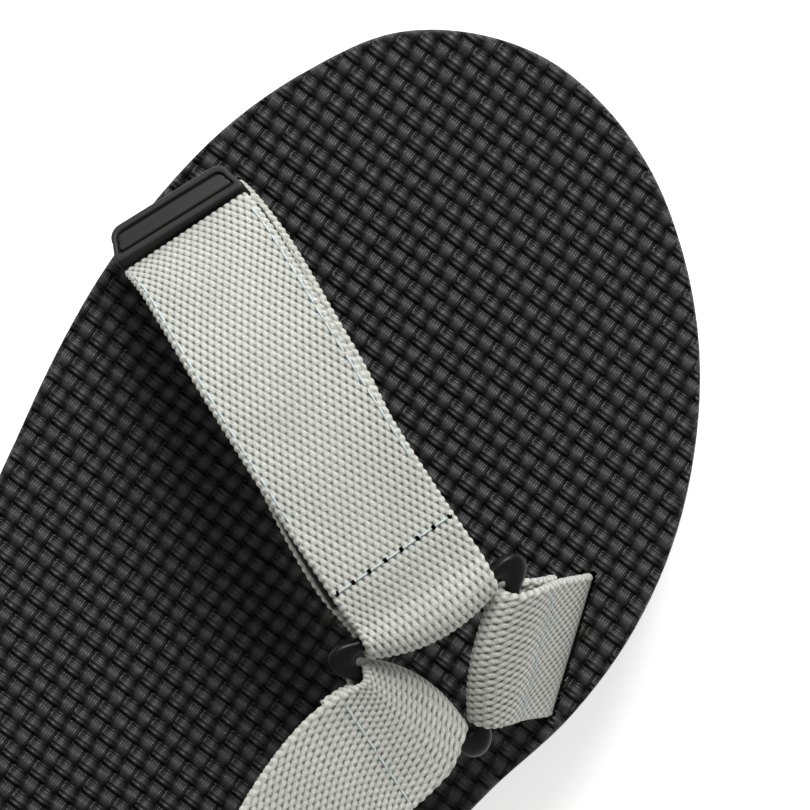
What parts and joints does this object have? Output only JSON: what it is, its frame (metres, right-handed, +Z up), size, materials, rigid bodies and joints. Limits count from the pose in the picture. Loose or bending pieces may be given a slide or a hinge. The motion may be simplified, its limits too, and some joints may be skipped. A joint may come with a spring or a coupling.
{
  "type": "strappy sport sandal",
  "caption": "Right sport sandal: layered foam sole with woven-look footbed, webbing straps through triangular rings, and fold-back hook-and-loop flaps with moulded tabs.",
  "frame": {"origin": "on the ground, under the middle of the flat stretch of the outsole", "axes": "+Y from heel to toe, +X towards the outer side of the right foot, +Z up"},
  "size_m": [0.1067, 0.2745, 0.1156],
  "materials": {
    "webbing": "woven polyester webbing, matt, sage grey",
    "tape": "black hook-and-loop tape",
    "footbed_eva": "matt black foam embossed as a basket weave",
    "midsole_eva": "matt black foam",
    "outsole_rubber": "black rubber with cross grooves",
    "moulded_plastic": "smooth semi-gloss black",
    "moulded_rubber": "matt dark grey, fine grain",
    "neoprene": "soft black knit over foam"
  },
  "bodies": {
    "sole_and_straps": {"outsole": "outsole_rubber", "midsole": "midsole_eva", "footbed": "footbed_eva", "toe_strap_base": "webbing", "toe_loop_patch": "tape", "forefoot_ring": "moulded_plastic", "forefoot_anchor_strap": "webbing", "instep_strap": "webbing", "lateral_anchor_strap": "webbing", "lateral_ankle_ring": "moulded_plastic", "medial_anchor_strap": "webbing", "medial_ankle_ring": "moulded_plastic", "ankle_strap_base": "webbing", "ankle_loop_patch": "tape", "heel_strap_base": "webbing", "heel_loop_patch": "tape", "heel_pad": "neoprene"},
    "toe_flap": {"toe_strap_flap": "webbing", "toe_hook_patch": "tape", "toe_pull_tab": "moulded_rubber"},
    "ankle_flap": {"ankle_strap_flap": "webbing", "ankle_hook_patch": "tape", "ankle_pull_tab": "moulded_rubber"},
    "heel_flap": {"heel_strap_flap": "webbing", "heel_hook_patch": "tape", "heel_pull_tab": "moulded_rubber"}
  },
  "joints": [
    {"name": "toe_flap_peel", "type": "hinge", "parent": "sole_and_straps", "child": "toe_flap", "pos_m": [0.01426, 0.05667, 0.05555], "axis": [0.3571, 0.9192, -0.166], "range_deg": [0, 115]},
    {"name": "ankle_flap_peel", "type": "hinge", "parent": "sole_and_straps", "child": "ankle_flap", "pos_m": [0.03679, -0.03485, 0.09226], "axis": [0.179, 0.6355, -0.7511], "range_deg": [0, 105]},
    {"name": "heel_flap_peel", "type": "hinge", "parent": "sole_and_straps", "child": "heel_flap", "pos_m": [0.03788, -0.06605, 0.09032], "axis": [-0.1155, 0.2038, 0.9722], "range_deg": [0, 100]}
  ]
}
